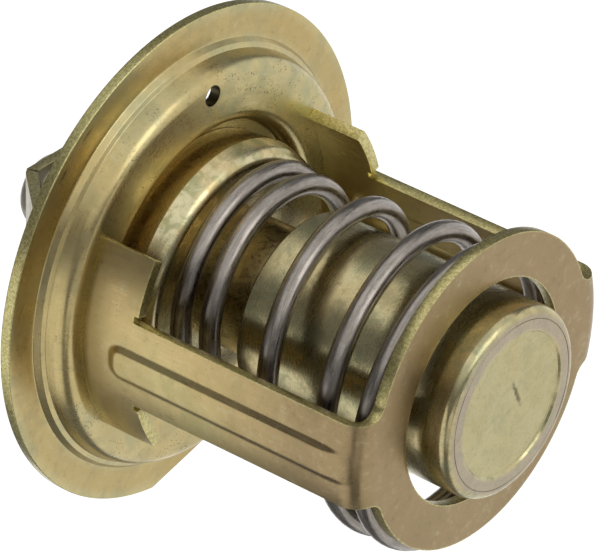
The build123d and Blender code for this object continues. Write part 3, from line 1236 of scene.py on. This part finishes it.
@dataclass
class CoilSpring(Piece):
    """Round wire wound as a cone, close at the valve and flat under the ring."""

    node, slot, finish = "main_spring", "spring_steel", WIRE_FINISH
    start: float
    end: float
    wire_r: float = 1.1
    gap: float = 0.05
    valve_r: float = 12.2
    waist_r: float = 11.85
    ring_r: float = 15.15
    lean: float = 1.65
    lean_angle: float = 50.6
    start_angle: float = 218.6
    turns: float = 4.81
    turns_close: float = 1.25
    turns_open: float = 3.3
    turns_flat: float = 4.25
    pitch_close: float = 3.1
    pitch_closing: float = 5.3
    pitch_blend: float = 0.12
    points_per_turn: int = 72
    sides: int = 28

    def pitch(self, turn: float, open_pitch: float) -> float:
        """Pitch of the wire.

        Args:
            turn: turns from the valve.
            open_pitch: pitch of the open turns.

        Returns:
            The pitch there.
        """
        stages = [
            (self.turns_close, open_pitch - self.pitch_close),
            (self.turns_open, self.pitch_closing - open_pitch),
            (self.turns_flat, -self.pitch_closing),
        ]
        value = self.pitch_close
        for at, change in stages:
            value += change * share_between(turn, at - self.pitch_blend, at + self.pitch_blend)
        return value

    def radius(self, turn: float) -> float:
        """Centre-line radius at a turn."""
        if turn < self.turns_close:
            return self.valve_r + (self.waist_r - self.valve_r) * turn / self.turns_close
        share = share_between(turn, self.turns_close, self.turns_open)
        return self.waist_r + (self.ring_r - self.waist_r) * share

    def centre_line(self) -> list[Vector]:
        """Points along the wire's centre, in millimetres."""
        height = self.start + self.wire_r + self.gap
        high = self.end - self.wire_r - self.gap
        closing = self.pitch_closing * (self.turns_flat - self.turns_open)
        rise = high - height - self.pitch_close * self.turns_close - closing
        open_pitch = rise / (self.turns_open - self.turns_close)
        count = math.ceil(self.turns * self.points_per_turn)
        step = self.turns / count
        aside = direction(self.lean_angle)
        points = []
        for index in range(count + 1):
            turn = index * step
            if index:
                height += self.pitch(turn - step / 2, open_pitch) * step
            spoke = direction(self.start_angle + 360 * turn) * self.radius(turn)
            lean = self.lean * share_between(turn, 1, self.turns_open)
            points.append(spoke + aside * lean + Vector((0, 0, height)))
        return points

    def build(self) -> Object:
        """Sweep the wire along its centre line with Geometry Nodes."""
        points = self.centre_line()
        mesh = bpy.data.meshes.new("coil")
        mesh.from_pydata([p * MM for p in points], [(i, i + 1) for i in range(len(points) - 1)], [])
        coil = add_object("coil", mesh)
        tree, sockets = wire_tree(self.finish.material())
        modifier = coil.modifiers.new("wire", "NODES")
        modifier.node_group = tree
        modifier[sockets["Wire Radius"]] = self.wire_r * MM
        modifier[sockets["Sides"]] = self.sides
        return shade(bake_modifiers(coil), SHARP_SHEET)


def wire_tree(material: Material) -> tuple[bpy.types.NodeTree, dict[str, str]]:
    """Node tree that sweeps round wire along a line of edges.

    Args:
        material: the wire's finish.

    Returns:
        The tree, and its inputs' identifiers by name.
    """
    tree = bpy.data.node_groups.new("sweep_wire", "GeometryNodeTree")
    sockets = {}
    for name, kind in (("Line", "Geometry"), ("Wire Radius", "Float"), ("Sides", "Int")):
        socket = tree.interface.new_socket(name, in_out="INPUT", socket_type=f"NodeSocket{kind}")
        sockets[name] = socket.identifier
    tree.interface.new_socket("Wire", in_out="OUTPUT", socket_type="NodeSocketGeometry")
    source = tree.nodes.new("NodeGroupInput").outputs

    def add(kind: str, inputs: Inputs, **settings: object) -> Socket:
        """Add a node and give its first output."""
        return add_node(tree, kind, inputs, **settings).outputs[0]

    def stored(curve: Socket, name: str) -> Socket:
        """Keep a curve's share of its length as a named attribute."""
        inputs = {"Geometry": curve, "Name": name, "Value": add("GeometryNodeSplineParameter", {})}
        return add("GeometryNodeStoreNamedAttribute", inputs, data_type="FLOAT", domain="POINT")

    line = add("GeometryNodeMeshToCurve", {"Mesh": source["Line"]})
    size = {"Radius": source["Wire Radius"], "Resolution": source["Sides"]}
    circle = add("GeometryNodeCurvePrimitiveCircle", size)
    curves = {"Curve": stored(line, "wire_run"), "Profile Curve": stored(circle, "wire_turn")}
    wire = add("GeometryNodeCurveToMesh", {**curves, "Fill Caps": True})
    real = add("GeometryNodeRealizeInstances", {"Geometry": wire})
    painted = add("GeometryNodeSetMaterial", {"Geometry": real, "Material": material})
    add_node(tree, "NodeGroupOutput", {"Wire": painted})
    return tree, sockets


# ---- lifting pieces


@dataclass
class ValveCup(Piece):
    """Drawn cup that shuts the throat and carries the spring."""

    node, slot, finish, body = "valve_plate", "plated_valve", VALVE_FINISH, Body.LIFTING
    seat: float
    shoulder: float
    sheet: float = 1.1
    edge_r: float = 14.0
    band_r: float = 14.3
    band_h: float = 3.9
    top_r: float = 13.75
    bend_r: float = 1.3
    hub_r: float = 5.92
    rim_edge: float = 0.12
    hub_edge: float = 0.1

    def build(self) -> Object:
        """Turn the cup's section."""
        floor = self.shoulder - self.sheet
        inside = self.edge_r - self.sheet
        corners = [
            (self.edge_r, self.seat, self.rim_edge),
            (self.band_r, self.seat + self.band_h, 0.0),
            (self.top_r, self.shoulder, self.bend_r),
            (self.hub_r, self.shoulder, self.hub_edge),
            (self.hub_r, floor, self.hub_edge),
            (inside, floor, self.bend_r / 2),
            (inside, self.seat, self.rim_edge),
        ]
        return lathe("valve", rounded_path(corners, closed=True), sharp_angle=14.0)


@dataclass
class WaxCapsule(Piece):
    """Deep-drawn capsule, rolled over at its open end, with a recessed closed end."""

    node, slot, finish, body = "capsule_shell", "plated_capsule", CAPSULE_FINISH, Body.LIFTING
    start: float
    end: float
    radius: float = 10.3
    wall: float = 1.0
    corner_r: float = 1.1
    roll: float = 0.8
    roll_r: float = 0.3
    roll_bore_r: float = 8.2
    edge: float = 0.1
    inner_edge: float = 0.05
    recess_r: float = 7.9
    recess: float = 0.25
    recess_edge: float = 0.12
    recess_bend_r: float = 0.2
    line_r: float = 9.15
    line: float = 0.12
    line_edge: float = 0.02
    line_bend_r: float = 0.03

    def build(self) -> Object:
        """Turn the shell's section."""
        bore = self.radius - self.wall
        corners = [
            (self.roll_bore_r, self.start, self.edge),
            (self.radius, self.start, self.roll_r),
            (self.radius, self.end, self.corner_r),
            (self.line_r + self.line / 2, self.end, self.line_edge),
            (self.line_r, self.end - self.line, self.line_bend_r),
            (self.line_r - self.line / 2, self.end, self.line_edge),
            (self.recess_r, self.end, self.recess_edge),
            (self.recess_r - self.recess, self.end - self.recess, self.recess_bend_r),
            (0.0, self.end - self.recess, 0.0),
            (0.0, self.end - self.wall, 0.0),
            (bore, self.end - self.wall, self.corner_r - self.edge),
            (bore, self.start + self.roll, self.inner_edge),
            (self.roll_bore_r, self.start + self.roll, self.edge),
        ]
        return lathe("capsule", rounded_path(corners, closed=True))


# ---- the studio


@dataclass(frozen=True)
class Softbox:
    """A soft square lamp that points at the object."""

    name: str
    towards: Point3
    distance: float
    size: float
    power: float


@dataclass(frozen=True)
class Opening:
    """A round opening in the tent, through which the metal shows the white surroundings."""

    towards: Point3
    half_angle: float


@dataclass
class Studio:
    """Plain floor, soft lamps, white surroundings behind a grey tent, and the camera, in metres."""

    lens_mm: float = 360.0
    sensor_mm: float = 36.0
    camera_at: Point3 = (0.39535, -0.32820, 0.32973)
    camera_right: Point3 = (-0.63371, -0.02334, 0.77321)
    camera_down: Point3 = (0.40599, 0.84079, 0.35813)
    aim: Point3 = (0.0, 0.0, 0.012)
    floor_half: float = 6.0
    floor_height: float = -0.6
    floor_glow: float = 0.62
    sky_dimmed: float = 0.6
    tent_radius: float = 0.55
    tent_grey: float = 0.17
    openings: tuple[Opening, ...] = (
        Opening((-0.68, 0.39, 0.62), 57.0),
        Opening((0.08, -0.96, 0.28), 50.0),
        Opening((0.89, 0.42, -0.18), 36.0),
        Opening((-0.56, 0.55, -0.62), 28.0),
    )
    lamps: tuple[Softbox, ...] = (
        Softbox("key", (-0.09, -0.62, 0.78), 0.35, 0.19, 0.18),
        Softbox("fill", (0.54, 0.23, 0.81), 0.35, 0.19, 0.07),
    )

    def camera(self) -> None:
        """Place the camera."""
        data = bpy.data.cameras.new("camera")
        data.lens, data.sensor_width = self.lens_mm, self.sensor_mm
        data.clip_start, data.clip_end = 0.05, 20.0
        right, up = Vector(self.camera_right).normalized(), -Vector(self.camera_down).normalized()
        turn = Matrix((right, up, right.cross(up))).transposed().to_4x4()
        eye = add_object("camera", data)
        eye.matrix_world = Matrix.Translation(Vector(self.camera_at)) @ turn
        bpy.context.scene.camera = eye

    def floor(self) -> None:
        """Lay a pale floor, well below the hanging part, that keeps its shadow."""
        half, low = self.floor_half / MM, self.floor_height / MM
        verts = [(-half, -half, low), (half, -half, low), (half, half, low), (-half, half, low)]
        floor = mesh_object("floor", verts, [(0, 1, 2, 3)])
        floor.data.materials.append(glowing("floor_white", 0.8, 0.9, self.floor_glow, seen_only=True))

    def tent(self) -> None:
        """Hang a dark tent with round openings, seen only in reflections."""
        cloth = bpy.data.meshes.new("tent")
        with edited(cloth) as work:
            bmesh.ops.create_uvsphere(work, u_segments=96, v_segments=48, radius=self.tent_radius)
            for opening in self.openings:
                axis = Vector(opening.towards).normalized()
                limit = math.cos(math.radians(opening.half_angle))
                spare = [f for f in work.faces if f.calc_center_median().normalized().dot(axis) > limit]
                bmesh.ops.delete(work, geom=spare, context="FACES")
        tent = add_object("tent", cloth)
        tent.visible_camera = False
        tent.visible_shadow = False
        tent.visible_diffuse = False
        cloth.materials.append(glowing("grey_cloth", 0.02, 1.0, self.tent_grey))

    def world(self) -> None:
        """Set plain soft surroundings that are white where they are seen."""
        world = bpy.data.worlds.new("surroundings")
        bpy.context.scene.world = world
        kit = Nodes(world, "Background")
        kit.set(Color=WHITE, Strength=kit.ramp(kit.seen(), 0.0, 1.0, self.sky_dimmed, 1.0))

    def hang(self, box: Softbox) -> None:
        """Hang one lamp."""
        data = bpy.data.lights.new(box.name, "AREA")
        data.size = box.size
        data.energy = box.power
        lamp = add_object(box.name, data)
        away = Vector(box.towards).normalized()
        turn = away.to_track_quat("Z", "Y").to_matrix().to_4x4()
        lamp.matrix_world = Matrix.Translation(Vector(self.aim) + away * box.distance) @ turn

    def build(self) -> None:
        """Set up everything round the object."""
        self.camera()
        self.floor()
        self.tent()
        self.world()
        for box in self.lamps:
            self.hang(box)
        bpy.context.scene.view_settings.view_transform = "Standard"


# ---- the whole part


def glowing(name: str, grey: float, roughness: float, glow: float, seen_only: bool = False) -> Material:
    """Make a matt grey that glows.

    Args:
        name: the material's name.
        grey: how pale it is in plain light.
        roughness: how matt it is.
        glow: strength of its white glow.
        seen_only: whether it glows only where it is seen, and lights nothing.

    Returns:
        The material.
    """
    kit = Nodes(bpy.data.materials.new(name))
    strength = kit.seen() * glow if seen_only else glow
    kit.set(Base_Color=(grey, grey, grey), Roughness=roughness)
    kit.set(Emission_Color=WHITE, Emission_Strength=strength)
    return kit.owner


def height_of(node: str) -> Point2:
    """Lowest and highest height of a construction node, in millimetres."""
    low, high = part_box(node)
    return low.z / MM, high.z / MM


def main() -> None:
    """Build, dress and place every piece."""
    logging.basicConfig(level=logging.INFO, format="%(name)s: %(message)s")
    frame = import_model()

    FlangePlate().dress()
    crest, ring_top = height_of("spring_cage")
    cage = SpringCage(crest, ring_top)
    cage.dress()
    Bridge(height_of("bridge")[1]).dress()

    seat, shoulder = height_of("valve_plate")
    ring_under = ring_top - cage.sheet
    coil = CoilSpring(shoulder, ring_under).dress()
    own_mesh(coil)

    ValveCup(seat, shoulder).dress()
    WaxCapsule(*height_of("capsule_shell")).dress()
    for node, finish in INNER_FINISHES.items():
        materials = frame["nodes"][node].data.materials
        materials.clear()
        materials.append(finish.material())
        LOG.info("%s: the construction's own piece, in %s", node, finish.name)

    Studio().build()


if __name__ == "__main__":
    main()
